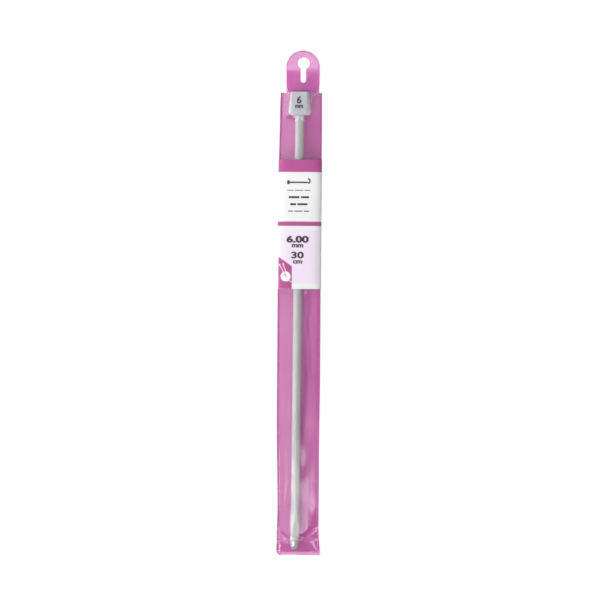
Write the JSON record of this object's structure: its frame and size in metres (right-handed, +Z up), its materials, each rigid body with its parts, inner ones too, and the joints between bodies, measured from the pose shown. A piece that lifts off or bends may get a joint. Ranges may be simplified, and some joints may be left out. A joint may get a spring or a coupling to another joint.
{
  "type": "crochet hook",
  "caption": "Tricot crochet hook with a metal shaft and a stopper head, stored in a tinted hanging pouch with a wrap-around label; the hook slides out of the pouch's mouth.",
  "frame": {"origin": "centre of the hang hole in the pouch's tab, on the front face of the back panel", "axes": "+Z up along the pouch, +Y towards the wall that it hangs on, +X to the viewer's right"},
  "size_m": [0.0292, 0.0109, 0.3314],
  "materials": {
    "tinted_vinyl": "soft tinted vinyl, glossy",
    "tab_vinyl": "soft tinted vinyl, glossy",
    "clear_vinyl": "clear vinyl film, glossy",
    "label_paper": "printed, smooth",
    "shaft_aluminium": "satin grey anodised",
    "head_plastic": "moulded, satin grey"
  },
  "bodies": {
    "pouch": {"back_panel": "tinted_vinyl", "hang_tab": "tab_vinyl", "front_film": "clear_vinyl", "label_band": "label_paper"},
    "hook": {"hook_shaft": "shaft_aluminium", "stopper_head": "head_plastic"}
  },
  "joints": [
    {"name": "hook_slide", "type": "slide", "parent": "pouch", "child": "hook", "axis": [0.0049, -0.0063, 1], "range_m": [0, 0.305]}
  ]
}
